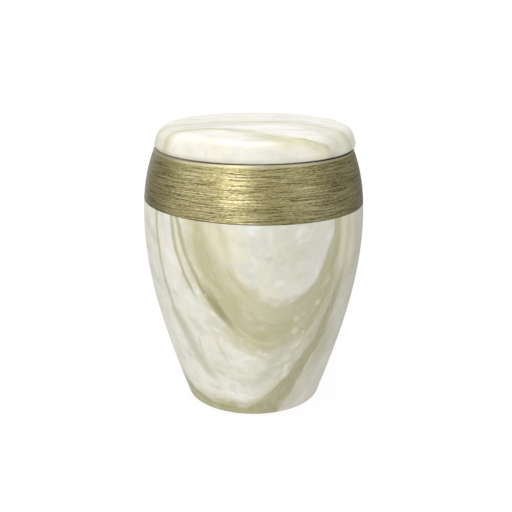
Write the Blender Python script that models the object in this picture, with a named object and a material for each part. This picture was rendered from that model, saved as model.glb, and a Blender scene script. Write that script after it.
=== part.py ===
"""A cremation urn of cast marble with a brushed brass band let into its shoulder and a lift-off lid.

Metres, +Z up. The origin is the centre of the foot, on the surface that the urn stands on.
Every piece is turned about the Z axis from a section, a list of (radius, height) points.
"""

import math

import bmesh
import bpy

# The body's outside: two curves that meet at the belly, its widest place.
BASE_RADIUS = 0.0650
BASE_FLARE = 0.353  # how much the radius grows with height where the outside leaves the base
BELLY_RADIUS = 0.105
BELLY_HEIGHT = 0.179
RIM_RADIUS = 0.0933
RIM_HEIGHT = 0.2469
SHOULDER_TAPER = 0.417  # how much the radius shrinks with height where the shoulder meets the rim

# The body's walls.
WALL = 0.008
FLOOR_HEIGHT = 0.010  # the top of the floor
FLOOR_FILLET = 0.012
BASE_ROUNDING = 0.0015
FOOT_WIDTH = 0.010
FOOT_RECESS = 0.0015
RIM_WIDTH = 0.0076  # the flat ring that carries the lid, from the band's rebate to the mouth
LIP_HEIGHT = 0.014  # the straight bore below the rim
LIP_TAPER = 0.010  # the sloping part below the bore, where the wall thins again
MOUTH_ROUNDING = 0.001

# The brass band, flush with the shoulder from the rim down.
BAND_THICKNESS = 0.0015
BAND_HEIGHT = 0.0488  # from the rim to the middle of the lower edge
BAND_LEAN = 0.0186  # the lower edge falls by this share of the way from -X to +X
BAND_ROUNDING = 0.0012

# The lid.
LID_OVERHANG = 0.0009  # how far its widest line stands out past the rim
LID_FOOT_ROUNDING = 0.0043
LID_SIDE_HEIGHT = 0.0114  # from the underside to where the side starts to round over
LID_SIDE_LEAN = math.radians(17.8)
LID_SHOULDER_ROUNDING = 0.01235
LID_CROWN_RISE = 0.00275
LID_THICKNESS = 0.008
COLLAR_DEPTH = 0.010
COLLAR_WALL = 0.006
COLLAR_ROUNDING = 0.0015
RECESS_FILLET = 0.005

# Fits.
FIT_GAP = 0.0003  # between faces that touch on the real urn
LID_PLAY = 0.0016  # between the lid's collar and the mouth when the lid sits in the middle

# How finely the round shapes are cut.
FACETS = 60

REBATE_DEPTH = BAND_THICKNESS + FIT_GAP
BAND_LOW = RIM_HEIGHT - BAND_HEIGHT
LEDGE_HEIGHT = BAND_LOW - FIT_GAP
LID_BOTTOM = RIM_HEIGHT + FIT_GAP
LID_RADIUS = RIM_RADIUS + LID_OVERHANG
LID_SHIFT = LID_PLAY - FIT_GAP  # the lid is pushed over to the +X side, as far as its collar lets it


def curve(share, span, start, start_slope, end, end_slope):
    """A cubic from start to end over span, with the slope given at each end, and its slope there."""
    t = share
    value = (
        (2 * t**3 - 3 * t**2 + 1) * start
        + (t**3 - 2 * t**2 + t) * span * start_slope
        + (3 * t**2 - 2 * t**3) * end
        + (t**3 - t**2) * span * end_slope
    )
    slope = (
        6 * (t**2 - t) * (start - end) / span
        + (3 * t**2 - 4 * t + 1) * start_slope
        + (3 * t**2 - 2 * t) * end_slope
    )
    return value, slope


def outside(height):
    """The radius of the body's outside at a height, and how fast it grows with height."""
    if height < BELLY_HEIGHT:
        share = height / BELLY_HEIGHT
        return curve(share, BELLY_HEIGHT, BASE_RADIUS, BASE_FLARE, BELLY_RADIUS, 0)
    span = RIM_HEIGHT - BELLY_HEIGHT
    share = (height - BELLY_HEIGHT) / span
    return curve(share, span, BELLY_RADIUS, 0, RIM_RADIUS, -SHOULDER_TAPER)


def under_outside(height, depth=0.0):
    """The point at a height that lies this deep below the outside, measured square to it."""
    radius, slope = outside(height)
    return radius - depth * math.hypot(1, slope), height


def spread(low, high, steps):
    """Heights from low to high in equal steps, both ends included."""
    return [low + (high - low) * step / steps for step in range(steps + 1)]


def arc(centre, radius, start, end, steps):
    """Points on an arc from one angle to another. 0 points away from the axis, and up is positive."""
    angles = spread(start, end, steps)
    return [(centre[0] + radius * math.cos(a), centre[1] + radius * math.sin(a)) for a in angles]


RIM_EDGE = under_outside(RIM_HEIGHT, REBATE_DEPTH)[0]  # the rim's outer radius, inside the band
MOUTH_RADIUS = RIM_EDGE - RIM_WIDTH


def body_section():
    """From the middle of the underside, up the outside and over the rim to the middle of the floor."""
    foot_inner = BASE_RADIUS - BASE_ROUNDING - FOOT_WIDTH
    lean = math.atan(BASE_FLARE)
    tangent_height = BASE_ROUNDING * (1 - math.sin(lean))
    rounding_radius = outside(tangent_height)[0] - BASE_ROUNDING * math.cos(lean)
    underside = [(0, FOOT_RECESS), (foot_inner - FOOT_RECESS, FOOT_RECESS), (foot_inner, 0)]
    edge = arc((rounding_radius, BASE_ROUNDING), BASE_ROUNDING, -math.pi / 2, -lean, 3)
    skin = [under_outside(height) for height in spread(tangent_height, LEDGE_HEIGHT, 12)[1:]]

    rebate = [under_outside(height, REBATE_DEPTH) for height in spread(LEDGE_HEIGHT, RIM_HEIGHT, 4)]
    mouth_centre = (MOUTH_RADIUS + MOUTH_ROUNDING, RIM_HEIGHT - MOUTH_ROUNDING)
    mouth = arc(mouth_centre, MOUTH_ROUNDING, math.pi / 2, math.pi, 2)
    lip = RIM_HEIGHT - LIP_HEIGHT

    fillet_height = FLOOR_HEIGHT + FLOOR_FILLET
    wall_lean = math.atan(outside(fillet_height)[1])
    wall_foot = fillet_height - FLOOR_FILLET * math.sin(wall_lean)
    wall = [under_outside(h, WALL) for h in spread(lip - LIP_TAPER, wall_foot, 9)]
    fillet_centre = (wall[-1][0] - FLOOR_FILLET * math.cos(wall_lean), fillet_height)
    fillet = arc(fillet_centre, FLOOR_FILLET, -wall_lean, -math.pi / 2, 4)[1:]
    floor = [(0, FLOOR_HEIGHT)]
    return underside + edge + skin + rebate + mouth + [(MOUTH_RADIUS, lip)] + wall + fillet + floor


def band_section():
    """A closed loop: down the outside, and back up the inside face to the rounded top edge."""
    rounding_height = RIM_HEIGHT - BAND_ROUNDING
    lean = math.atan(SHOULDER_TAPER)
    top_radius = outside(rounding_height)[0] - BAND_ROUNDING
    top = arc((top_radius, rounding_height), BAND_ROUNDING, math.pi / 2, lean / 2, 3)
    rows = spread(rounding_height, BAND_LOW, 4)
    skin = [under_outside(height) for height in rows[1:]]
    inner_rows = [RIM_HEIGHT] + rows[1:]
    back = [under_outside(height, BAND_THICKNESS) for height in reversed(inner_rows)]
    return top + skin + back


def lid_section():
    """From the middle of the crown, over the shoulder and under the foot to the recess inside."""
    foot_centre = (LID_RADIUS - LID_FOOT_ROUNDING, LID_BOTTOM + LID_FOOT_ROUNDING)
    foot = arc(foot_centre, LID_FOOT_ROUNDING, LID_SIDE_LEAN, -math.pi / 2, 5)

    side_top = LID_BOTTOM + LID_SIDE_HEIGHT
    side_radius = foot[0][0] - (side_top - foot[0][1]) * math.tan(LID_SIDE_LEAN)
    shoulder_centre = (
        side_radius - LID_SHOULDER_ROUNDING * math.cos(LID_SIDE_LEAN),
        side_top - LID_SHOULDER_ROUNDING * math.sin(LID_SIDE_LEAN),
    )
    top = shoulder_centre[1] + LID_SHOULDER_ROUNDING + LID_CROWN_RISE

    # The crown is one wide arc that meets the shoulder's arc smoothly.
    reach = shoulder_centre[0]
    crown_radius = reach**2 + 2 * LID_SHOULDER_ROUNDING * LID_CROWN_RISE + LID_CROWN_RISE**2
    crown_radius /= 2 * LID_CROWN_RISE
    crown_centre = (0, top - crown_radius)
    meeting = math.atan2(shoulder_centre[1] - crown_centre[1], reach)
    crown = arc(crown_centre, crown_radius, math.pi / 2, meeting, 4)
    shoulder = arc(shoulder_centre, LID_SHOULDER_ROUNDING, meeting, LID_SIDE_LEAN, 6)[1:]

    collar_radius = MOUTH_RADIUS - LID_PLAY
    recess_radius = collar_radius - COLLAR_WALL
    collar_bottom = LID_BOTTOM - COLLAR_DEPTH
    outer_centre = (collar_radius - COLLAR_ROUNDING, collar_bottom + COLLAR_ROUNDING)
    inner_centre = (recess_radius + COLLAR_ROUNDING, collar_bottom + COLLAR_ROUNDING)
    collar = [(collar_radius, LID_BOTTOM)]
    collar += arc(outer_centre, COLLAR_ROUNDING, 0, -math.pi / 2, 2)
    collar += arc(inner_centre, COLLAR_ROUNDING, -math.pi / 2, -math.pi, 2)

    ceiling = top - LID_THICKNESS
    recess_centre = (recess_radius - RECESS_FILLET, ceiling - RECESS_FILLET)
    recess = arc(recess_centre, RECESS_FILLET, 0, math.pi / 2, 3)
    return crown + shoulder + foot + collar + recess + [(0, ceiling)]


def turned(name, section, material, closed=False):
    """An object made by turning a section about the Z axis."""
    mesh = bmesh.new()
    points = [mesh.verts.new((radius, 0, height)) for radius, height in section]
    edges = [mesh.edges.new(pair) for pair in zip(points, points[1:])]
    if closed:
        edges.append(mesh.edges.new((points[-1], points[0])))
    bmesh.ops.spin(
        mesh,
        geom=points + edges,
        cent=(0, 0, 0),
        axis=(0, 0, 1),
        angle=2 * math.pi,
        steps=FACETS,
        use_merge=False,
    )
    bmesh.ops.remove_doubles(mesh, verts=mesh.verts, dist=1e-6)
    bmesh.ops.recalc_face_normals(mesh, faces=mesh.faces)
    data = bpy.data.meshes.new(name)
    mesh.to_mesh(data)
    mesh.free()
    data.materials.append(material)
    data.shade_smooth()
    data.set_sharp_from_angle(angle=math.radians(35))
    piece = bpy.data.objects.new(name, data)
    bpy.context.scene.collection.objects.link(piece)
    return piece


def lean_edge(piece, height):
    """Slides the rings of points at this height along the outside, so that the edge they make falls
    towards +X by the band's lean."""
    for vertex in piece.data.vertices:
        if abs(vertex.co.z - height) > 1e-6:
            continue
        radius = vertex.co.xy.length
        leaning = height - BAND_LEAN * vertex.co.x
        slid = radius + outside(leaning)[0] - outside(height)[0]
        vertex.co.xy *= slid / radius
        vertex.co.z = leaning


def finish(name, colour, roughness, metallic=0.0):
    """A Principled material of one colour."""
    material = bpy.data.materials.new(name)
    material.use_nodes = True
    shader = material.node_tree.nodes["Principled BSDF"]
    shader.inputs["Base Color"].default_value = (*colour, 1)
    shader.inputs["Roughness"].default_value = roughness
    shader.inputs["Metallic"].default_value = metallic
    material.diffuse_color = (*colour, 1)
    return material


def main():
    for leftover in list(bpy.data.objects):
        bpy.data.objects.remove(leftover)
    marble = finish("cream_and_sage_marble", (0.72, 0.70, 0.58), 0.28)
    brass = finish("brushed_brass", (0.38, 0.33, 0.17), 0.42, metallic=1.0)

    body = turned("body", body_section(), marble)
    lean_edge(body, LEDGE_HEIGHT)
    band = turned("brass_band", band_section(), brass, closed=True)
    lean_edge(band, BAND_LOW)
    lid = turned("lid", lid_section(), marble)
    lid.location.x = LID_SHIFT


main()
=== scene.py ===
import math

import bpy
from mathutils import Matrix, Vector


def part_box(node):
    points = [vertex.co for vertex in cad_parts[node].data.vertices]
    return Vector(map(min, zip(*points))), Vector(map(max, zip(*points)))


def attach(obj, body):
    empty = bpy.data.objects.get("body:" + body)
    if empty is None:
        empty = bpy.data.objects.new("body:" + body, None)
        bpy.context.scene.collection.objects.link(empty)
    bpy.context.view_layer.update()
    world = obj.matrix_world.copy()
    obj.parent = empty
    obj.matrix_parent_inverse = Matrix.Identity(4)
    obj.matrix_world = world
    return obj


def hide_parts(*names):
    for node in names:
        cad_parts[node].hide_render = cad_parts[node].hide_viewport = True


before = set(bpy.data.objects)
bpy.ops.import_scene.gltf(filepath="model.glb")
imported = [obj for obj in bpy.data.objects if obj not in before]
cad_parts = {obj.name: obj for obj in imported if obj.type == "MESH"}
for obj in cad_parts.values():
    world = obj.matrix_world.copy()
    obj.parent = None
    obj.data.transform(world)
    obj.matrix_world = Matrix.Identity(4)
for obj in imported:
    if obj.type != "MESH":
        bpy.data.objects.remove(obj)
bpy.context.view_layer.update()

bodyLow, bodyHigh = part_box("body")
ringLow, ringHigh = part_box("brass_band")
lidLow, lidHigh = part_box("lid")
mm = 0.001
for node, low, high in (("body", bodyLow, bodyHigh), ("band", ringLow, ringHigh), ("lid", lidLow, lidHigh)):
    print(f"{node} loaded: {low.z / mm:.1f} to {high.z / mm:.1f} mm up")


# Node benches: one small class for a wire with sums, one that adds nodes
class Wire:
    def __init__(self, bench, socket):
        self.bench = bench
        self.socket = socket

    def also(self, output):  # another output of the same node
        return Wire(self.bench, self.socket.node.outputs[output])

    def math(self, operation, *others):
        return self.bench.math(operation, self, *others)

    def __add__(self, other):
        return self.math("ADD", other)

    def __radd__(self, other):
        return self.math("ADD", other)

    def __sub__(self, other):
        return self.math("SUBTRACT", other)

    def __rsub__(self, other):
        return self.bench.math("SUBTRACT", other, self)

    def __mul__(self, other):
        return self.math("MULTIPLY", other)

    def __rmul__(self, other):
        return self.math("MULTIPLY", other)

    def __truediv__(self, other):
        return self.math("DIVIDE", other)

    def __rtruediv__(self, other):
        return self.bench.math("DIVIDE", other, self)

    def __pow__(self, power):
        return self.math("POWER", power)

    def __abs__(self):
        return self.math("ABSOLUTE")


class Bench:
    def __init__(self, tree):
        self.tree = tree

    # any node: its type, its settings, which are set first, and its sockets' values or wires
    def add(self, kind, settings=None, values=(), output=0):
        node = self.tree.nodes.new(kind)
        for name, setting in (settings or {}).items():
            if name == "stops":
                fillRamp(node.color_ramp, setting)
            else:
                setattr(node, name, setting)
        pairs = values.items() if isinstance(values, dict) else enumerate(values)
        for name, value in pairs:
            if isinstance(value, Wire):
                self.tree.links.new(value.socket, node.inputs[name])
            else:
                node.inputs[name].default_value = value
        return Wire(self, node.outputs[output])

    def math(self, operation, *values):
        return self.add("ShaderNodeMath", {"operation": operation}, values)

    def rise(self, value, low, high):  # 0 at low, 1 at high, level past both, smooth between
        return self.add("ShaderNodeMapRange", {"interpolation_type": "SMOOTHSTEP"}, [value, low, high])

    def noise(self, vector, scale, detail=3.0, roughness=0.5):
        sockets = {"Vector": vector, "Scale": scale, "Detail": detail, "Roughness": roughness}
        return self.add("ShaderNodeTexNoise", None, sockets)

    def vector(self, operation, *values):
        return self.add("ShaderNodeVectorMath", {"operation": operation}, values)

    def split(self, vector):
        parts = self.add("ShaderNodeSeparateXYZ", None, [vector])
        return parts, parts.also("Y"), parts.also("Z")

    def join(self, x, y, z):
        return self.add("ShaderNodeCombineXYZ", None, [x, y, z])

    def fromAxis(self, place):  # how far a place lies from the Z axis
        level = self.vector("MULTIPLY", place, (1.0, 1.0, 0.0))
        return self.vector("LENGTH", level).also("Value")

    def blend(self, factor, first, second):  # two colours
        sockets = {0: factor, 6: first, 7: second}
        return self.add("ShaderNodeMix", {"data_type": "RGBA"}, sockets, output=2)

    def ramp(self, factor, stops):
        return self.add("ShaderNodeValToRGB", {"stops": stops}, [factor])


def fillRamp(ramp, stops):
    while len(ramp.elements) < len(stops):
        ramp.elements.new(1.0)
    for element, (place, colour) in zip(ramp.elements, stops):
        element.position = place
        element.color = colour


def paint(red, green, blue):  # a colour as a screen shows it, made linear
    channels = [value / 255 for value in (red, green, blue)]
    linear = [((value + 0.055) / 1.055) ** 2.4 if value > 0.04 else value / 12.92 for value in channels]
    return (*linear, 1.0)


# Curves that the sections share; this one works on numbers and on wires
def easeCurve(t, span, start, startSlope, end, endSlope):
    heldStart = (2 * t**3 - 3 * t**2 + 1) * start + (t**3 - 2 * t**2 + t) * (span * startSlope)
    heldEnd = (3 * t**2 - 2 * t**3) * end + (t**3 - t**2) * (span * endSlope)
    return heldStart + heldEnd


def spread(first, last, steps):
    return [first + (last - first) * step / steps for step in range(steps + 1)]


def arc(centre, radius, first, last, steps):  # 0 points away from the axis
    middle, height = centre
    turns = spread(first, last, steps)
    return [(middle + radius * math.cos(turn), height + radius * math.sin(turn)) for turn in turns]


# The body, turned: a flared foot, a belly and a shoulder that draws in to the rim
bodyForm = dict(
    baseRadius=65.0 * mm,
    baseFlare=0.353,
    bellyRadius=bodyHigh.x,
    bellyHeight=179.0 * mm,
    rimRadius=93.3 * mm,
    rimHeight=bodyHigh.z,
    shoulderTaper=0.417,
    wall=8.0 * mm,
    floorHeight=10.0 * mm,
    floorFillet=12.0 * mm,
    baseRounding=1.5 * mm,
    footWidth=10.0 * mm,
    footRecess=1.5 * mm,
    mouthRadius=83.75 * mm,
    mouthRounding=1.0 * mm,
    lipHeight=14.0 * mm,
    lipTaper=10.0 * mm,
    skinDepth=2.5 * mm,  # what lies no deeper than this follows the lean of the band
    facets=256,
)


def shoulderRadius(height):
    form = bodyForm
    span = form["rimHeight"] - form["bellyHeight"]
    share = (height - form["bellyHeight"]) / span
    return easeCurve(share, span, form["bellyRadius"], 0.0, form["rimRadius"], -form["shoulderTaper"])


def outsideRadius(height):
    form = bodyForm
    if height > form["bellyHeight"]:
        return shoulderRadius(height)
    span = form["bellyHeight"]
    start, flare, end = form["baseRadius"], form["baseFlare"], form["bellyRadius"]
    return easeCurve(height / span, span, start, flare, end, 0.0)


def outsideSlope(height, reach=0.5 * mm):
    return (outsideRadius(height + reach) - outsideRadius(height - reach)) / (2 * reach)


def outsidePoint(height, depth=0.0):
    return outsideRadius(height) - depth * math.hypot(1, outsideSlope(height)), height


# from the middle of the underside, up the outside, over the rim and down to the floor
def bodySection():
    form, ring = bodyForm, ringForm
    rim = form["rimHeight"]
    flare = math.atan(form["baseFlare"])
    edge = form["baseRounding"]
    footInner = form["baseRadius"] - edge - form["footWidth"]
    edgeHeight = edge * (1 - math.sin(flare))
    edgeRadius = outsideRadius(edgeHeight) - edge * math.cos(flare)
    ledge = rim - ring["height"] - ring["gap"]
    rebate = ring["thickness"] + ring["gap"]

    points = [(radius, form["footRecess"]) for radius in spread(0, footInner - form["footRecess"], 6)]
    points += [(footInner, 0)]
    points += arc((edgeRadius, edge), edge, -math.pi / 2, -flare, 6)
    points += [outsidePoint(height) for height in spread(edgeHeight, ledge, 90)[1:]]
    points += [outsidePoint(height, rebate) for height in spread(ledge, rim, 12)]
    rounding = form["mouthRounding"]
    points += arc((form["mouthRadius"] + rounding, rim - rounding), rounding, math.pi / 2, math.pi, 5)
    lip = rim - form["lipHeight"]
    points += [(form["mouthRadius"], lip)]
    fillet = form["floorFillet"]
    filletHeight = form["floorHeight"] + fillet
    wallLean = math.atan(outsideSlope(filletHeight, mm))
    wallFoot = filletHeight - fillet * math.sin(wallLean)
    wallHeights = spread(lip - form["lipTaper"], wallFoot, 36)
    points += [outsidePoint(height, form["wall"]) for height in wallHeights]
    filletCentre = (points[-1][0] - fillet * math.cos(wallLean), filletHeight)
    points += arc(filletCentre, fillet, -wallLean, -math.pi / 2, 8)[1:]
    points += [(radius, form["floorHeight"]) for radius in spread(points[-1][0], 0, 5)[1:]]

    # the skin under the band follows the lean of its edge, more and more from the belly up
    leans = []
    for radius, height in points:
        onSkin = radius > outsideRadius(min(height, rim)) - form["skinDepth"]
        share = max(0.0, (height - form["bellyHeight"]) / (ledge - form["bellyHeight"]))
        above = max(0.0, (height - ledge) / ring["height"])
        leans.append(min(share, 1 - above) if onSkin else 0.0)
    return points, leans, [0.0] * len(points)


# The band, set flush in the shoulder, with its brush strokes as relief
ringForm = dict(
    thickness=1.5 * mm,
    height=48.8 * mm,  # from the rim to the middle of the lower edge
    lean=0.0186,  # how much the lower edge falls towards +X
    topRounding=1.2 * mm,
    edgeRounding=0.25 * mm,
    gap=0.3 * mm,
    rows=320,
    facets=272,
    strokeDepth=0.15 * mm,
    strokeLength=24.0 * mm,
    strokeWidth=0.56 * mm,
    strokeWander=4.0 * mm,
    edgeFade=0.8 * mm,  # the strokes fade at both edges, and more slowly under the lip
    lipFade=2.5 * mm,
    strokeLayers=(  # long and short soft strokes, then dark and bright hairlines
        dict(longer=1.3, wider=1.0, often=17.0, strength=0.72),
        dict(longer=0.13, wider=0.8, often=26.0, strength=0.62),
        dict(longer=3.2, wider=3.8, often=12.0, thin=0.050, strength=-0.15),
        dict(longer=2.2, wider=3.0, often=9.0, thin=0.040, strength=0.09),
    ),
)


# up the outside of the band from its lower edge, over the lip and down its back
def ringSection():
    ring, rim = ringForm, bodyForm["rimHeight"]
    low = rim - ring["height"]
    lipHeight = rim - ring["topRounding"]
    lean = math.atan(bodyForm["shoulderTaper"])
    edge = ring["edgeRounding"]
    skinHeights = spread(low + edge, lipHeight, ring["rows"])
    points = [outsidePoint(low, edge)]
    points += [outsidePoint(height) for height in skinHeights]
    lipCentre = (outsideRadius(lipHeight) - ring["topRounding"], lipHeight)
    points += arc(lipCentre, ring["topRounding"], lean / 2, math.pi / 2, 6)[1:]
    points += [outsidePoint(height, ring["thickness"]) for height in spread(rim, low, 4)]
    points += [points[0]]
    leans = [max(0.0, (rim - height) / ring["height"]) for radius, height in points]
    reliefs = [0.0]
    for height in skinHeights:
        share = min((height - low) / ring["edgeFade"], (lipHeight - height) / ring["lipFade"], 1.0)
        reliefs.append(max(0.0, share))
    reliefs += [0.0] * (len(points) - len(reliefs))
    return points, leans, reliefs


# Strokes long round the urn and narrow up it. The layers wander differently, so that they cross,
# and a hairline runs where its noise passes the middle.
def brushStrokes(bench, spot, length, width):
    x, y, z = bench.split(spot)
    strokes = 0.0
    for layer in ringForm["strokeLayers"]:
        wander = (bench.noise(spot, layer["often"], 1.0) - 0.5) * ringForm["strokeWander"]
        run = length * layer["longer"]
        stretched = bench.join(x / run, y / run, (z + wander) / (width * layer["wider"]))
        drawn = bench.noise(stretched, 1.0, 1.0) - 0.5
        if "thin" in layer:
            drawn = bench.rise(abs(drawn), layer["thin"], 0.0)
        strokes = drawn * layer["strength"] + strokes
    return strokes


# The lid: a low dome with a collar under it
lidForm = dict(
    radius=(lidHigh.x - lidLow.x) / 2,
    shift=(lidHigh.x + lidLow.x) / 2,  # it lies a little to the right
    top=lidHigh.z,
    footRounding=4.3 * mm,
    sideHeight=11.4 * mm,
    sideLean=math.radians(17.8),
    shoulderRounding=12.35 * mm,
    thickness=8.0 * mm,
    collarLow=lidLow.z,
    collarDepth=10.0 * mm,
    collarRadius=82.15 * mm,
    collarWall=6.0 * mm,
    collarRounding=1.5 * mm,
    recessFillet=5.0 * mm,
    facets=256,
)


# from the middle of the hollow under the lid, round the collar and the foot to the crown
def lidSection():
    form = lidForm
    quarter = math.pi / 2
    lean = form["sideLean"]
    bottom = form["collarLow"] + form["collarDepth"]
    rounding = form["footRounding"]
    foot = arc((form["radius"] - rounding, bottom + rounding), rounding, -quarter, lean, 12)
    footRadius, footTop = foot[-1]
    sideTop = bottom + form["sideHeight"]
    sideRadius = footRadius - (sideTop - footTop) * math.tan(lean)
    side = zip(spread(footRadius, sideRadius, 5), spread(footTop, sideTop, 5))
    shoulder = form["shoulderRounding"]
    reach, shoulderHeight = sideRadius - shoulder * math.cos(lean), sideTop - shoulder * math.sin(lean)
    crownRise = form["top"] - shoulderHeight - shoulder
    crownRadius = (reach**2 + 2 * shoulder * crownRise + crownRise**2) / (2 * crownRise)
    crownCentre = (0, form["top"] - crownRadius)
    meeting = math.atan2(shoulderHeight - crownCentre[1], reach)

    recess = form["collarRadius"] - form["collarWall"]
    soft = form["collarRounding"]
    softHeight = form["collarLow"] + soft
    fillet = form["recessFillet"]
    ceiling = form["top"] - form["thickness"]
    points = [(radius, ceiling) for radius in spread(0, recess - fillet, 5)]
    points += arc((recess - fillet, ceiling - fillet), fillet, quarter, 0, 6)[1:]
    points += arc((recess + soft, softHeight), soft, math.pi, math.pi * 1.5, 4)
    points += arc((form["collarRadius"] - soft, softHeight), soft, -quarter, 0, 4)
    points += [(form["collarRadius"], bottom)]
    points += foot
    points += list(side)[1:-1]
    points += arc((reach, shoulderHeight), shoulder, lean, meeting, 16)
    points += arc(crownCentre, crownRadius, meeting, quarter, 24)[1:]
    return points, [0.0] * len(points), [0.0] * len(points)


# The tree that turns a section: a grid, one column for each facet, laid round the axis
def turningTree():
    tree = bpy.data.node_groups.new("turnedPiece", "GeometryNodeTree")
    face = tree.interface
    face.new_socket("Geometry", in_out="OUTPUT", socket_type="NodeSocketGeometry")
    for name, kind in (
        ("Section", "NodeSocketGeometry"),
        ("Facets", "NodeSocketInt"),
        ("Shift", "NodeSocketFloat"),
        ("Lean", "NodeSocketFloat"),
        ("Stroke Depth", "NodeSocketFloat"),
        ("Stroke Length", "NodeSocketFloat"),
        ("Stroke Width", "NodeSocketFloat"),
        ("Finish", "NodeSocketMaterial"),
    ):
        face.new_socket(name, in_out="INPUT", socket_type=kind)
    bench = Bench(tree)
    given = bench.add("NodeGroupInput")
    section, facets = given, given.also("Facets")

    count = bench.add("GeometryNodeAttributeDomainSize", {"component": "MESH"}, [section])
    grid = bench.add("GeometryNodeMeshGrid", None, {"Vertices X": facets + 1, "Vertices Y": count})
    index = bench.add("GeometryNodeInputIndex")
    column = (index / count).math("FLOOR")
    row = index - column * count

    def sampled(kind, value):
        settings = {"data_type": kind, "domain": "POINT"}
        sockets = {"Geometry": section, "Value": value, "Index": row}
        return bench.add("GeometryNodeSampleIndex", settings, sockets)

    def named(name):
        return bench.add("GeometryNodeInputNamedAttribute", {"data_type": "FLOAT"}, {"Name": name})

    radius, _, height = bench.split(sampled("FLOAT_VECTOR", bench.add("GeometryNodeInputPosition")))
    follows = sampled("FLOAT", named("lean"))
    carved = sampled("FLOAT", named("relief"))
    turn = column / facets * math.tau
    across, along = turn.math("COSINE"), turn.math("SINE")

    # the lean slides a point along the outside
    leaning = height - given.also("Lean") * follows * radius * across
    moved = follows.math("GREATER_THAN", 0.001)
    slid = radius + (shoulderRadius(leaning) - shoulderRadius(height)) * moved

    spot = bench.join(slid * across, slid * along, leaning)
    strokes = brushStrokes(bench, spot, given.also("Stroke Length"), given.also("Stroke Width"))
    cut = slid + strokes * 2 * carved * given.also("Stroke Depth")  # the strokes reach about 0.5

    final = bench.join(cut * across + given.also("Shift"), cut * along, leaning)
    laid = bench.add("GeometryNodeSetPosition", None, {"Geometry": grid, "Position": final})
    closed = bench.add("GeometryNodeMergeByDistance", None, {"Geometry": laid, "Distance": 0.001 * mm})
    smooth = bench.add("GeometryNodeSetShadeSmooth", None, {"Geometry": closed})
    whole = bench.add("GeometryNodeRealizeInstances", None, {"Geometry": smooth})
    sockets = {"Geometry": whole, "Material": given.also("Finish")}
    finished = bench.add("GeometryNodeSetMaterial", None, sockets)
    tree.links.new(finished.socket, tree.nodes.new("NodeGroupOutput").inputs[0])
    return tree


def turnPiece(name, section, tree, inputs, sharp=40):
    points, leans, reliefs = section
    outline = bpy.data.meshes.new(name + "Section")
    outline.from_pydata([(radius, 0, height) for radius, height in points], [], [])
    for label, values in (("lean", leans), ("relief", reliefs)):
        outline.attributes.new(label, "FLOAT", "POINT").data.foreach_set("value", values)
    maker = bpy.data.objects.new(name + "Maker", outline)
    bpy.context.scene.collection.objects.link(maker)
    modifier = maker.modifiers.new("turn", "NODES")
    modifier.node_group = tree
    items = tree.interface.items_tree
    sockets = {item.name: item.identifier for item in items if item.in_out == "INPUT"}
    for label, value in inputs.items():
        modifier[sockets[label]] = value
    made = maker.evaluated_get(bpy.context.evaluated_depsgraph_get())
    mesh = bpy.data.meshes.new_from_object(made)
    maker.modifiers.remove(modifier)
    bpy.data.objects.remove(maker)
    mesh.set_sharp_from_angle(angle=math.radians(sharp))
    piece = bpy.data.objects.new(name, mesh)
    bpy.context.scene.collection.objects.link(piece)
    print(f"{name}: {len(mesh.polygons)} faces")
    return piece


# Finishes
def newFinish(name):
    material = bpy.data.materials.new(name)
    material.use_nodes = True
    material.node_tree.nodes.clear()
    print(f"finish: {name}")
    return material, Bench(material.node_tree)


def finishOff(bench, values):
    shader = bench.add("ShaderNodeBsdfPrincipled", None, values)
    output = bench.tree.nodes.new("ShaderNodeOutputMaterial")
    bench.tree.links.new(shader.socket, output.inputs["Surface"])


# What the body's marble and the lid's share. A pair is where a mask starts and where it is full.
marbleGrain = dict(
    tintOffset=(7.3, 2.1, 4.9),  # so that the tints fall elsewhere than the drifts
    tintOften=0.8,
    tints=(
        dict(between=(0.52, 0.72), shade="cool", strength=0.8),
        dict(between=(0.46, 0.28), shade="warm", strength=0.7),
    ),
    drifts=(
        dict(between=(0.54, 0.74), shade="white", strength=0.8),
        dict(between=(0.47, 0.27), shade="grey", strength=0.6),
    ),
    glossOften=30.0,
    leastRoughness=0.30,
    roughening=0.12,
)


class Marble:
    def __init__(self, name, look):
        self.look = look
        self.material, self.bench = newFinish(name)
        bench = self.bench
        self.place = bench.add("ShaderNodeTexCoord").also("Object")
        self.warped = self.place
        for often, far in look["wander"]:
            drift = bench.noise(self.place, often, 2.0).also("Color")
            centred = bench.vector("SUBTRACT", drift, (0.5, 0.5, 0.5))
            moved = bench.vector("MULTIPLY", centred, (far, far, far))
            self.warped = bench.vector("ADD", self.warped, moved)

    def tint(self, colour, mask, shade):
        return self.bench.blend(mask, colour, self.look["shades"][shade])

    # soft clouds that run the way the vector is stretched
    def clouded(self, colour, along, strength):
        bench, grain = self.bench, marbleGrain
        elsewhere = bench.vector("ADD", along, grain["tintOffset"])
        tints = bench.noise(elsewhere, grain["tintOften"], 2.0)
        drifts = bench.noise(along, 1.0)
        for noise, clouds in ((tints, grain["tints"]), (drifts, grain["drifts"])):
            for cloud in clouds:
                mask = bench.rise(noise, *cloud["between"]) * cloud["strength"] * strength
                colour = self.tint(colour, mask, cloud["shade"])
        return colour

    # finer clouds: how often they come along X, Y and Z
    def speckled(self, colour, often, strength):
        return self.clouded(colour, self.bench.vector("MULTIPLY", self.warped, often), strength)

    def done(self, colour):
        grain = marbleGrain
        gloss = self.bench.noise(self.place, grain["glossOften"], 2.0) * grain["roughening"]
        gloss = gloss + grain["leastRoughness"]
        finishOff(self.bench, {"Base Color": colour, "Roughness": gloss})
        return self.material


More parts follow.
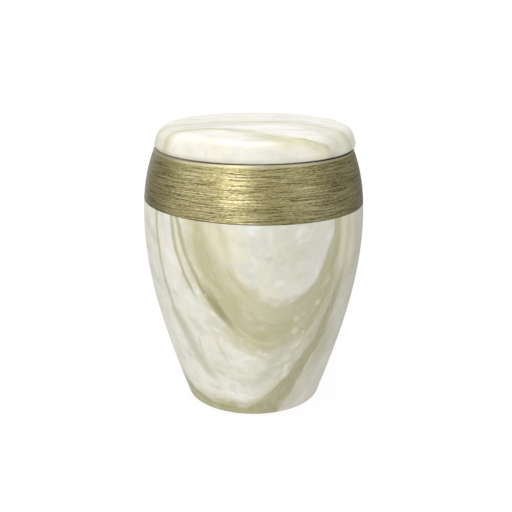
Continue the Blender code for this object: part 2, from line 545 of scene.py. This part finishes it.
# The body's marble: folds of sage and cream flow down the front, each fold a curve that hangs
# between two arms. Angles are degrees round the urn, 0 at the front and more to the right. Hangs,
# depths, widths and sizes are millimetres; hangs count down from the height the folds hang from.
# A pair is where a mask starts and where it is full.
marbleLook = dict(
    hangHeight=200.0,
    wander=((14.0, 7.5 * mm), (44.0, 5.0 * mm), (150.0, 2.4 * mm)),  # how often and how far
    folds=(  # the white pocket, the sage fold round it, the white fold, the olive fold at the foot
        dict(centre=13.0, left=28.5, right=29.5, depth=77.5, powerLeft=1.55, powerRight=1.85),
        dict(centre=10.0, left=41.0, right=38.0, depth=125.0, powerLeft=1.80, powerRight=2.10),
        dict(centre=-12.8, left=84.0, right=62.0, depth=191.5, powerLeft=2.60, powerRight=1.90),
        dict(centre=-30.0, left=86.0, right=78.0, depth=258.0, powerLeft=1.75, powerRight=2.00),
    ),
    sideBlend=(-0.35, 0.35),  # from the left arm's width and power to the right arm's
    sageLevel=1.5,  # a fold's level is half way between the two curves that bound it
    oliveLevel=3.5,
    streaks=dict(often=3.6, length=72.0, sway=0.20),  # the sway is how far they push the shades
    drifts=dict(often=1.3, length=46.0, sway=0.30),
    closer=1.6,  # outside the pocket the flowing patterns are closer by this share
    downRun=0.8,  # how long they are down the urn, as a share of their length
    flankMiddle=10.0,
    flankBlend=(-0.42, 0.42),
    # the shades met on the way out, from the middle of the pocket (0) to the olive fold (0.8); the right
    # flank's are darker, as painted shade on the side away from the light
    leftFlank=(
        (0.000, "pearl"), (0.100, "ivory"), (0.180, "cream"), (0.206, "sand"), (0.262, "sand"),
        (0.336, "khaki"), (0.388, "khaki"), (0.408, "sand"), (0.448, "milk"), (0.520, "ivory"),
        (0.585, "milk"), (0.618, "olive"), (0.780, "olive"), (0.822, "pearl"), (0.900, "milk"),
    ),
    shadedRightFlank=(
        (0.000, "stone"), (0.110, "stone"), (0.182, "chalk"), (0.210, "moss"), (0.300, "moss"),
        (0.370, "olive"), (0.412, "reed"), (0.585, "reed"), (0.618, "lichen"), (0.780, "lichen"),
        (0.822, "stone"), (1.000, "chalk"),
    ),
    # the olive fold is painted darker at the foot, as painted shade, and fades out as it rises at the left
    foot=dict(hangs=(174, 192), apart=(0.55, 0.35), angles=(-48, -20), strength=0.30),
    fade=dict(hangs=(184, 166), levels=(2.9, 3.1), angles=(-52, -62), back=(-165, -110), strength=0.90),
    # the clouds are weaker in the sage and olive folds and on the right flank
    calm=dict(
        sage=(0.60, 0.42),
        olive=(0.62, 0.46),
        right=(0.30, 0.65),
        rightShare=0.75,
        rightFolds=(0.15, 0.42),
        rightFoldsShare=0.90,
        outside=(1.0, 1.6),
    ),
    clouds=dict(often=1.25, length=21.0, strength=0.95, calmed=0.70),
    specks=dict(often=(80.0, 80.0, 52.0), strength=0.40, calmed=0.32),
    streakShade=dict(between=(0.58, 0.76), shade="sage", strength=0.30),
    # hairlines where the streaks pass a value, outside the pocket and in some of the drifts
    hairs=dict(values=((0.47, 0.014), (0.56, 0.012)), outside=(1.0, 1.5), drifts=(0.42, 0.60),
               shade="sage", strength=0.28),
    # a stripe stands at angle + slope * down + bend * down², where down is its hang below at;
    # it sets in and ends near the ends of its span, and the streaks make it stronger or fainter
    stripeStart=(-4, 8),
    stripeEnd=(4, -14),
    stripeFaintest=0.5,
    stripeStreaks=0.8,
    stripes=(
        dict(angle=-40, slope=0.13, bend=0.0014, width=2.5, span=(-20, 96), shade="sage", strength=0.95),
        dict(angle=-43.1, bend=0.0024, width=2.3, span=(-20, 76), shade="sage", strength=0.90),
        dict(angle=-41.6, slope=0.06, bend=0.0019, width=1.8, span=(-20, 60), shade="straw", strength=0.45),
        dict(angle=-56.2, bend=0.00095, width=2.3, span=(-20, 116), shade="sage", strength=0.75),
        dict(angle=-57.4, bend=0.00115, width=7.0, span=(88, 165), shade="grey", strength=0.95),
        dict(angle=-23, slope=0.27, width=7.5, span=(-20, 44), shade="cream", strength=0.60),
        dict(angle=-47.5, slope=0.118, width=1.8, span=(112, 142), shade="grey", strength=0.60),
        dict(angle=-49.3, slope=0.24, width=2.2, span=(112, 142), shade="grey", strength=0.50),
        dict(angle=-68, bend=0.0006, width=2.4, span=(-20, 150), shade="grey", strength=0.22),
        dict(angle=-76, bend=0.0004, width=3.0, span=(-20, 120), shade="sage", strength=0.10),
        dict(angle=60, bend=-0.0004, width=1.6, span=(-20, 62), shade="sage", strength=0.60),
        dict(angle=66, bend=-0.0006, width=2.2, span=(-20, 110), shade="grey", strength=0.45),
        dict(angle=73, bend=-0.0004, width=2.6, span=(-20, 150), shade="sage", strength=0.35),
        dict(at=131, angle=61.9, bend=-0.0256, width=3.4, span=(118, 170), shade="grey", strength=0.70),
        dict(at=139, angle=13.1, slope=-0.411, width=6.5, span=(106, 172), shade="grey", strength=0.62),
        dict(at=161, angle=-8.8, slope=1.8, width=4.5, span=(152, 170), shade="grey", strength=0.45),
        dict(angle=-108, bend=0.0003, width=2.4, span=(-20, 190), shade="sage", strength=0.45),
        dict(angle=121, bend=-0.0005, width=3.4, span=(-20, 230), shade="sage", strength=0.45),
        dict(angle=-152, bend=0.0006, width=2.0, span=(-20, 170), shade="grey", strength=0.55),
    ),
    # the arm of the olive fold pales as it rises at the right
    paleArm=dict(angle=54, width=(9, 5), hangs=(78, 38), shade="cream", strength=0.50),
    degree=1.9,  # millimetres round the urn, where the spots are
    spotWander=3.0,
    spots=(
        dict(angle=23.0, hang=92.0, size=4.4, shade="cream", strength=0.50),
        dict(angle=23.0, hang=104.8, size=6.4, shade="cream", strength=0.50),
        dict(angle=27.5, hang=104.4, size=2.0, shade="dark", strength=0.70),
        dict(angle=28.6, hang=107.8, size=2.4, shade="cream", strength=0.40),
        dict(angle=35.4, hang=79.6, size=5.0, shade="cream", strength=0.40),
        dict(angle=-33.5, hang=112.0, size=3.6, shade="white", strength=0.60),
        dict(angle=-24.5, hang=69.0, size=3.0, shade="cream", strength=0.80),
    ),
    # a dark streak on the left flank of the sage fold
    streak=dict(angle=-48.5, slope=0.375, wander=5.0, width=(3.2, 0.3), starts=(54, 78), ends=(106, 86),
                shade="dark", strength=0.85),
    # a pale line inside the foot of the sage fold, and a dark one along the olive fold
    innerLine=dict(fold=1, at=0.925, width=0.028, angle=2, spread=(14, 8), hangs=(60, 90),
                   shade="straw", strength=0.36),
    seam=dict(fold=2, at=1.012, width=0.014, angle=-34, spread=(24, 14), hangs=(140, 165),
              shade="dark", strength=0.40),
    # a plainer fold at the back, of three bands
    backFold=dict(centre=172.0, left=40.0, right=46.0, depth=135.0, powerLeft=1.8, powerRight=2.0),
    backWander=0.5,
    backBands=(
        dict(at=1.05, width=(0.26, 0.06), shade="sage", strength=0.65),
        dict(at=0.72, width=(0.07, 0.00), shade="grey", strength=0.50),
        dict(at=1.42, width=(0.08, 0.00), shade="sage", strength=0.50),
    ),
    # near the axis, where the angles crowd, the stone is plain
    middle=dict(radii=(50.0 * mm, 60.0 * mm), often=(45.0, 45.0, 45.0), strength=0.90),
    shades=dict(
        pearl=paint(217, 215, 199),
        ivory=paint(224, 222, 208),
        milk=paint(228, 226, 212),
        sand=paint(205, 199, 166),
        khaki=paint(189, 183, 142),
        olive=paint(174, 171, 131),
        # chalk to lichen: the right flank's shades, darker as painted shade
        chalk=paint(216, 214, 205),
        stone=paint(206, 203, 187),
        reed=paint(187, 184, 159),
        moss=paint(180, 178, 146),
        lichen=paint(165, 162, 128),
        sage=paint(170, 166, 126),
        dark=paint(150, 145, 103),
        straw=paint(216, 211, 172),
        cream=paint(227, 223, 198),
        grey=paint(190, 190, 168),
        cool=paint(209, 209, 200),
        warm=paint(224, 219, 195),
        white=paint(236, 235, 229),
        plain=paint(223, 221, 206),
        faded=paint(214, 213, 199),
    ),
)


class FoldedMarble(Marble):
    def __init__(self, name, look):
        super().__init__(name, look)
        bench = self.bench
        self.angle, self.hang = self.wrapped(self.warped)
        self.trueAngle, self.trueHang = self.wrapped(self.place)
        self.reaches = [self.reach(**fold) for fold in look["folds"]]
        self.level = self.nested()
        fromMiddle = (self.angle - look["flankMiddle"]) * (math.pi / 180)
        self.turned = fromMiddle.math("SINE")  # -1 at the far left, 1 at the far right
        streaks, drifts = look["streaks"], look["drifts"]
        self.streaks = bench.noise(self.flow(streaks["often"], streaks["length"]), 1.0)
        self.drifts = bench.noise(self.flow(drifts["often"], drifts["length"]), 1.0, 2.0)

    def wrapped(self, place):  # degrees round the urn, and how far a place hangs
        x, y, z = self.bench.split(place)
        angle = x.math("ARCTAN2", y * -1) * (180 / math.pi)
        return angle, self.look["hangHeight"] - z / mm

    # how far out a point lies: below 1 inside the fold, above 1 outside it
    def reach(self, centre, left, right, depth, powerLeft, powerRight):
        apart = (self.angle - centre) * (math.pi / 180)
        chord = abs((apart / 2).math("SINE")) * (360 / math.pi)
        side = self.bench.rise(apart.math("SINE"), *self.look["sideBlend"])
        half = side * (right - left) + left
        power = side * (powerRight - powerLeft) + powerLeft
        down = self.hang.math("MAXIMUM", 0.0)
        return ((chord / half) ** power + (down / depth) ** power) ** (1 / power)

    # below 1 in the pocket, then one more past each fold's curve
    def nested(self):
        level = self.reaches[0].math("MINIMUM", 1.0)
        for inner, outer in zip(self.reaches, self.reaches[1:]):
            past = (inner - 1).math("MAXIMUM", 0.0)
            left = (1 - outer).math("MAXIMUM", 0.0)
            level = level + past / (past + left + 0.0001)  # which never divides by zero
        return level + (self.reaches[-1] - 1).math("MAXIMUM", 0.0)

    # follows the folds: thin across them and long along them, and wider in the pocket
    def flow(self, often, length):
        bent = self.level + (self.level - 1).math("MAXIMUM", 0.0) * self.look["closer"]
        x, y, _ = self.bench.split(self.warped)
        run = length * mm
        return self.bench.join(bent * often, x / run, y / run + self.hang / (length * self.look["downRun"]))

    # the ground colour, from the ramps of the two flanks, which hold five levels each; the right flank's
    # ramp is painted darker, as shade
    def flanked(self):
        bench, look = self.bench, self.look
        flowing = self.level + (self.streaks - 0.5) * look["streaks"]["sway"]
        flowing = (flowing + (self.drifts - 0.5) * look["drifts"]["sway"]) / 5
        flanks = []
        for flank in ("leftFlank", "shadedRightFlank"):
            stops = [(place, look["shades"][name]) for place, name in look[flank]]
            flanks.append(bench.ramp(flowing, stops))
        return bench.blend(bench.rise(self.turned, *look["flankBlend"]), *flanks)

    def footed(self, colour):
        bench, foot, fade = self.bench, self.look["foot"], self.look["fade"]
        mask = bench.rise(abs(self.level - self.look["oliveLevel"]), *foot["apart"])
        mask = mask * bench.rise(self.hang, *foot["hangs"]) * bench.rise(self.angle, *foot["angles"])
        # painted shade: the olive fold is darker at the foot
        colour = self.tint(colour, mask * foot["strength"], "dark")
        mask = bench.rise(self.hang, *fade["hangs"]) * bench.rise(self.level, *fade["levels"])
        mask = mask * bench.rise(self.angle, *fade["angles"]) * bench.rise(self.angle, *fade["back"])
        return self.tint(colour, mask * fade["strength"], "faded")

    def calmness(self):
        bench, look, calm = self.bench, self.look, self.look["calm"]
        folds = bench.rise(self.turned, *calm["rightFolds"]) * bench.rise(self.level, *calm["outside"])
        calmest = bench.rise(abs(self.level - look["sageLevel"]), *calm["sage"])
        for other in (
            bench.rise(abs(self.level - look["oliveLevel"]), *calm["olive"]),
            bench.rise(self.turned, *calm["right"]) * calm["rightShare"],
            folds * calm["rightFoldsShare"],
        ):
            calmest = calmest.math("MAXIMUM", other)
        return calmest

    # clouds, specks, streaks and hairlines, over the ground colour
    def weathered(self, colour):
        bench, look, calm = self.bench, self.look, self.calmness()
        clouds, specks = look["clouds"], look["specks"]
        along = self.flow(clouds["often"], clouds["length"])
        colour = self.clouded(colour, along, clouds["strength"] - calm * clouds["calmed"])
        colour = self.speckled(colour, specks["often"], specks["strength"] - calm * specks["calmed"])
        streak, hairs = look["streakShade"], look["hairs"]
        mask = bench.rise(self.streaks, *streak["between"])
        colour = self.tint(colour, mask * streak["strength"], streak["shade"])
        mask = 0.0
        for value, width in hairs["values"]:
            mask = bench.rise(abs(self.streaks - value), width, 0.0) + mask
        mask = mask * bench.rise(self.level, *hairs["outside"])
        mask = mask * bench.rise(self.drifts, *hairs["drifts"])
        return self.tint(colour, mask * hairs["strength"], hairs["shade"])

    def striped(self, colour):
        bench, look, hang = self.bench, self.look, self.hang
        for stripe in look["stripes"]:
            first, last = stripe["span"]
            down = hang - stripe.get("at", 0)
            drawn = down * stripe.get("slope", 0) + down * down * stripe.get("bend", 0) + stripe["angle"]
            line = bench.rise(abs(self.angle - drawn), stripe["width"], 0.0)
            line = line * bench.rise(hang, *[first + step for step in look["stripeStart"]])
            line = line * bench.rise(hang, *[last + step for step in look["stripeEnd"]])
            line = line * (self.streaks * look["stripeStreaks"] + look["stripeFaintest"])
            colour = self.tint(colour, line * stripe["strength"], stripe["shade"])
        arm = look["paleArm"]
        mask = bench.rise(hang, *arm["hangs"]) * bench.rise(abs(self.angle - arm["angle"]), *arm["width"])
        return self.tint(colour, mask * arm["strength"], arm["shade"])

    # spots and a streak at their true places, which the wandering of the folds doesn't move
    def spotted(self, colour):
        bench, look = self.bench, self.look
        for spot in look["spots"]:
            beside = (self.trueAngle - spot["angle"]) * look["degree"]
            below = self.trueHang - spot["hang"]
            away = (beside * beside + below * below).math("SQRT")
            mark = bench.rise(away + (self.streaks - 0.5) * look["spotWander"], spot["size"], 0.0)
            colour = self.tint(colour, mark * spot["strength"], spot["shade"])
        streak = look["streak"]
        drawn = self.trueHang * streak["slope"] + streak["angle"]
        off = abs(self.trueAngle - drawn + (self.streaks - 0.5) * streak["wander"])
        line = bench.rise(off, *streak["width"]) * bench.rise(self.trueHang, *streak["starts"])
        line = line * bench.rise(self.trueHang, *streak["ends"])
        return self.tint(colour, line * streak["strength"], streak["shade"])

    def outlined(self, colour):
        bench = self.bench
        for line in (self.look["innerLine"], self.look["seam"]):
            mask = bench.rise(abs(self.reaches[line["fold"]] - line["at"]), line["width"], 0.0)
            mask = mask * bench.rise(abs(self.angle - line["angle"]), *line["spread"])
            mask = mask * bench.rise(self.hang, *line["hangs"])
            colour = self.tint(colour, mask * line["strength"], line["shade"])
        behind = self.reach(**self.look["backFold"]) + (self.drifts - 0.5) * self.look["backWander"]
        for band in self.look["backBands"]:
            mask = bench.rise(abs(behind - band["at"]), *band["width"])
            colour = self.tint(colour, mask * band["strength"], band["shade"])
        return colour


def marbleMaterial():
    look, middle = marbleLook, marbleLook["middle"]
    marble = FoldedMarble("flowingMarble", look)
    bench = marble.bench
    colour = marble.weathered(marble.footed(marble.flanked()))
    colour = marble.outlined(marble.spotted(marble.striped(colour)))
    plain = marble.speckled(look["shades"]["plain"], middle["often"], middle["strength"])
    outer = bench.rise(bench.fromAxis(marble.place), *middle["radii"])
    return marble.done(bench.blend(outer, plain, colour))


# The lid's marble: long pale veins that arch across it, from the left side over to the front
lidLook = dict(
    # Millimetres on the surface laid flat: an arch is level at its peak, bends forwards left of
    # its left turn, and falls by the fall between its right turn and its right end.
    arches=(
        dict(peak=-37.5, left=113, leftTurn=-42, fall=47, rightTurn=-42, rightEnd=37,
             width=9.0, swell=12.0, shade="vein", strength=0.86),
        dict(peak=-35.5, left=113, leftTurn=-42, fall=44, rightTurn=-40, rightEnd=40,
             width=3.0, shade="core", strength=0.62),
        dict(peak=-46.5, left=100, leftTurn=-50, fall=45, rightTurn=-20, rightEnd=60,
             width=5.0, shade="warm", strength=0.70),
        dict(peak=-4.0, left=272, leftTurn=-20, fall=45, rightTurn=32, rightEnd=94,
             width=7.0, swell=3.0, shade="vein", strength=0.80),
        dict(peak=-1.5, left=260, leftTurn=-20, fall=45, rightTurn=34, rightEnd=97,
             width=2.6, shade="core", strength=0.50),
        dict(peak=10.0, left=300, leftTurn=-10, fall=50, rightTurn=30, rightEnd=100,
             width=12.0, shade="grey", strength=0.50),
        dict(peak=-16.0, left=300, leftTurn=-10, fall=62, rightTurn=30, rightEnd=100,
             width=17.0, swell=-13.0, shade="grey", strength=0.75),
        dict(peak=30.0, left=600, leftTurn=-30, fall=42, rightTurn=40, rightEnd=96,
             width=5.5, shade="vein", strength=0.42),
        dict(peak=48.0, left=400, leftTurn=-20, fall=40, rightTurn=20, rightEnd=96,
             width=12.0, shade="grey", strength=0.20),
        dict(peak=66.0, left=260, leftTurn=-5, fall=40, rightTurn=20, rightEnd=90,
             width=4.5, shade="vein", strength=0.38),
        dict(peak=90.0, left=240, leftTurn=10, fall=30, rightTurn=20, rightEnd=80,
             width=7.0, shade="vein", strength=0.32),
    ),
    swellMiddle=12.0,  # where along x an arch's swell is full
    swellSpan=(40.0, 8.0),  # how far from there it starts and is full
    sideStart=55.0,  # past this along x the veins widen, by the next value for each millimetre
    sideWidening=0.17,
    wander=((15.0, 8.0 * mm), (52.0, 4.5 * mm), (180.0, 1.6 * mm)),
    crown=dict(below=(8.0, 1.5), strength=0.90),  # painted light: the crown is whiter, at so many millimetres below the top
    innermost=20.0,  # nearer the axis than this the folding out grows no further
    clouds=dict(size=(34.0, 17.0, 34.0), strength=0.85),
    specks=dict(often=(70.0, 95.0, 80.0), strength=0.45),
    # a noise that weakens the veins here and there
    breaks=dict(often=(25.0, 60.0, 40.0), between=(0.34, 0.60), least=0.5),
    shades=dict(
        ground=paint(228, 225, 211),
        warm=paint(226, 217, 191),
        cool=paint(210, 209, 200),
        white=paint(238, 237, 231),
        grey=paint(204, 202, 185),
        vein=paint(198, 196, 154),
        core=paint(166, 164, 126),
    ),
)


def lidMaterial():
    look = lidLook
    marble = Marble("archedMarble", look)
    bench = marble.bench
    x, y, z = [part / mm for part in bench.split(marble.warped)]
    below = lidForm["top"] / mm - z

    # the sides fold out flat round the crown, so that veins run on down them
    radius = (x * x + y * y).math("SQRT").math("MAXIMUM", look["innermost"])
    unfold = below.math("MAXIMUM", 0.0) / radius + 1
    x, y = x * unfold, y * unfold

    crown, clouds, specks = look["crown"], look["clouds"], look["specks"]
    # the crown is painted whiter: painted light on the top of the lid
    mask = bench.rise(below, *crown["below"]) * crown["strength"]
    colour = marble.tint(look["shades"]["ground"], mask, "white")
    stretched = bench.join(*[part / size for part, size in zip((x, y, z), clouds["size"])])
    colour = marble.clouded(colour, stretched, clouds["strength"])
    colour = marble.speckled(colour, specks["often"], specks["strength"])
    breaks = look["breaks"]
    broken = bench.noise(bench.vector("MULTIPLY", marble.warped, breaks["often"]), 1.0, 3.0, 0.6)
    whole = bench.rise(broken, *breaks["between"]) * (1 - breaks["least"]) + breaks["least"]
    widened = (abs(x) - look["sideStart"]).math("MAXIMUM", 0.0) * look["sideWidening"]
    swollen = bench.rise(abs(x - look["swellMiddle"]), *look["swellSpan"])
    for arch in look["arches"]:
        before = (arch["leftTurn"] - x).math("MAXIMUM", 0.0)
        length = arch["rightEnd"] - arch["rightTurn"]
        share = ((x - arch["rightTurn"]) / length).math("MAXIMUM", 0.0).math("MINIMUM", 1.0)
        fallen = bench.rise(share, 0.0, 1.0) * arch["fall"]
        path = arch["peak"] - before * before / arch["left"] - fallen
        slope = before * (2 / arch["left"]) - share * (1 - share) * (6 * arch["fall"] / length)
        off = abs(y - path) / (slope * slope + 1).math("SQRT")
        thick = swollen * arch.get("swell", 0) + widened + arch["width"]
        line = bench.rise(off / thick, 1.0, 0.0) * whole
        colour = marble.tint(colour, line * arch["strength"], arch["shade"])
    return marble.done(colour)


# Brass: an old gold, brushed round the urn, under a clear lacquer
brassLook = dict(
    bright=paint(223, 215, 177),
    warm=paint(181, 169, 111),
    dull=paint(104, 94, 48),
    jointPatinaAndShade=paint(52, 44, 18),
    edgeTint=paint(120, 112, 80),
    warmFrom=(-0.19, -0.02),  # strokes: the first start to warm, the second are warm
    brightFrom=(0.04, 0.20),
    smoothLip=(3.4 * mm, 1.6 * mm),  # how far below the rim the strokes fade and are gone
    # the stroke value the smooth lip takes: smoother, and painted in the bright colour, a painted highlight
    lipStrokeAndHighlight=0.18,
    jointInset=1.3 * mm,  # how far inside the lid's edge the dark joint starts: its patina and the painted shade under the lid
    jointBlur=0.5 * mm,
    jointHeight=(0.8 * mm, 0.4 * mm),
    roughFrom=(0.2, -0.2),  # strokes: the first are the smoothest, the second the roughest
    leastRoughness=0.34,
    roughening=0.20,
    lacquer=0.8,
    lacquerRoughness=0.25,
)


def brassMaterial():
    look, form = brassLook, ringForm
    material, bench = newFinish("brushedBrass")
    place = bench.add("ShaderNodeTexCoord").also("Object")
    below = bodyForm["rimHeight"] - bench.split(place)[2]
    strokes = brushStrokes(bench, place, form["strokeLength"], form["strokeWidth"])
    smoothed = bench.rise(below, *look["smoothLip"])
    # the smooth lip is painted bright: a painted highlight
    strokes = strokes * (1 - smoothed) + smoothed * look["lipStrokeAndHighlight"]
    colour = bench.blend(bench.rise(strokes, *look["warmFrom"]), look["dull"], look["warm"])
    colour = bench.blend(bench.rise(strokes, *look["brightFrom"]), colour, look["bright"])
    # the joint under the lid is dark: a patina in it, and painted shade where the lid overhangs it
    outwards = bench.fromAxis(bench.vector("SUBTRACT", place, (lidForm["shift"], 0.0, 0.0)))
    under = lidForm["radius"] - look["jointInset"]
    patinaAndShadeMask = bench.rise(outwards, under, under - look["jointBlur"])
    patinaAndShadeMask = patinaAndShadeMask * bench.rise(below, *look["jointHeight"])
    rough = bench.rise(strokes, *look["roughFrom"]) * look["roughening"] + look["leastRoughness"]
    finishOff(bench, {
        "Base Color": bench.blend(patinaAndShadeMask, colour, look["jointPatinaAndShade"]),
        "Metallic": 1.0,
        "Roughness": rough,
        "Specular Tint": look["edgeTint"],
        "Coat Weight": look["lacquer"],
        "Coat Roughness": look["lacquerRoughness"],
    })
    return material


# The urn
def buildUrn():
    tree = turningTree()
    strokes = {"Stroke Length": ringForm["strokeLength"], "Stroke Width": ringForm["strokeWidth"]}
    plain = {"Shift": 0.0, "Lean": 0.0, "Stroke Depth": 0.0, **strokes}
    lean = {**plain, "Lean": ringForm["lean"]}
    brushed = {**lean, "Stroke Depth": ringForm["strokeDepth"]}
    shifted = {**plain, "Shift": lidForm["shift"]}
    body = turnPiece("marbleBody", bodySection(), tree, {
        **lean, "Facets": bodyForm["facets"], "Finish": marbleMaterial(),
    })
    ring = turnPiece("brushedRing", ringSection(), tree, {
        **brushed, "Facets": ringForm["facets"], "Finish": brassMaterial(),
    }, sharp=80)
    lid = turnPiece("marbleLid", lidSection(), tree, {
        **shifted, "Facets": lidForm["facets"], "Finish": lidMaterial(),
    })
    for piece, node, slot in (
        (body, "body", "marble"),
        (ring, "brass_band", "brushed_brass"),
        (lid, "lid", "marble"),
    ):
        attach(piece, "root")
        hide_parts(node)
    print("urn placed")


# The studio: a glowing white table, a wide light overhead, a softbox at the left and four fills,
# one of them from the back. Metres for the camera and the table, degrees for the lights.
studio = dict(
    cameraDistance=0.800,
    cameraHeight=0.3891,
    cameraTilt=17.41,
    lens=60.11,
    axisOffset=2.4 / 512,  # the urn stands a little left of the middle
    tableProfile=((9, 0), (10.2, 0.12), (11.1, 0.42), (11.7, 0.87), (12, 1.4), (12.15, 2.2)),
    tableSides=64,
    tableColour=(0.08, 0.08, 0.08, 1.0),
    tableGlow=0.93,
    surround=0.38,
    lights=(
        dict(name="overhead", strength=2.12, azimuth=-60.0, elevation=86.0, spread=36.0),
        dict(name="softbox", strength=0.58, azimuth=-21.0, elevation=13.0, spread=26.0),
        dict(name="frontFill", strength=0.43, azimuth=-18.0, elevation=10.0, spread=68.0),
        dict(name="leftFill", strength=0.44, azimuth=-68.0, elevation=15.0, spread=60.0),
        dict(name="rightFill", strength=0.25, azimuth=48.0, elevation=13.0, spread=50.0),
        dict(name="backFill", strength=0.38, azimuth=-168.0, elevation=15.0, spread=70.0),
    ),
)


def buildCamera():
    camera = bpy.data.cameras.new("view")
    camera.lens = studio["lens"]
    camera.shift_x = studio["axisOffset"]
    eye = bpy.data.objects.new("view", camera)
    eye.location = (0, -studio["cameraDistance"], studio["cameraHeight"])
    eye.rotation_euler = (math.radians(90 - studio["cameraTilt"]), 0, 0)
    bpy.context.scene.collection.objects.link(eye)
    bpy.context.scene.camera = eye
    bpy.context.scene.view_settings.view_transform = "Standard"
    bpy.context.scene.view_settings.look = "None"
    print("camera set")


def buildLights():
    for light in studio["lights"]:
        lamp = bpy.data.lights.new(light["name"], "SUN")
        lamp.energy = light["strength"]
        lamp.angle = math.radians(light["spread"])
        hung = bpy.data.objects.new(light["name"], lamp)
        tilt = math.radians(90 - light["elevation"])
        hung.rotation_euler = (tilt, 0, math.radians(light["azimuth"]))
        bpy.context.scene.collection.objects.link(hung)
    world = bpy.data.worlds.new("surround")
    world.use_nodes = True
    background = world.node_tree.nodes["Background"]
    background.inputs["Color"].default_value = (1, 1, 1, 1)
    background.inputs["Strength"].default_value = studio["surround"]
    bpy.context.scene.world = world
    print(f"lights hung: {len(studio['lights'])}")


# a wide round table whose rim curls up, so that it hides the horizon
def buildTable():
    profile, sides = studio["tableProfile"], studio["tableSides"]
    corners = [(0, 0, 0)]
    for radius, height in profile:
        for turn in spread(0, math.tau, sides)[:-1]:
            corners.append((radius * math.cos(turn), radius * math.sin(turn), height))
    faces = []
    for side in range(sides):
        beside = (side + 1) % sides
        faces.append((0, 1 + side, 1 + beside))
        for ring in range(len(profile) - 1):
            inner, outer = 1 + ring * sides, 1 + (ring + 1) * sides
            faces.append((inner + side, outer + side, outer + beside, inner + beside))
    top = bpy.data.meshes.new("table")
    top.from_pydata(corners, [], faces)
    table = bpy.data.objects.new("table", top)
    bpy.context.scene.collection.objects.link(table)
    acrylic, bench = newFinish("paleAcrylic")
    finishOff(bench, {
        "Base Color": studio["tableColour"],
        "Roughness": 0.9,
        "Specular IOR Level": 0.1,
        "Emission Color": (1, 1, 1, 1),
        "Emission Strength": studio["tableGlow"],
    })
    top.materials.append(acrylic)
    table.visible_glossy = False  # the brass mirrors the dim room, and not the glowing table
    print("table laid")


buildUrn()
buildCamera()
buildLights()
buildTable()
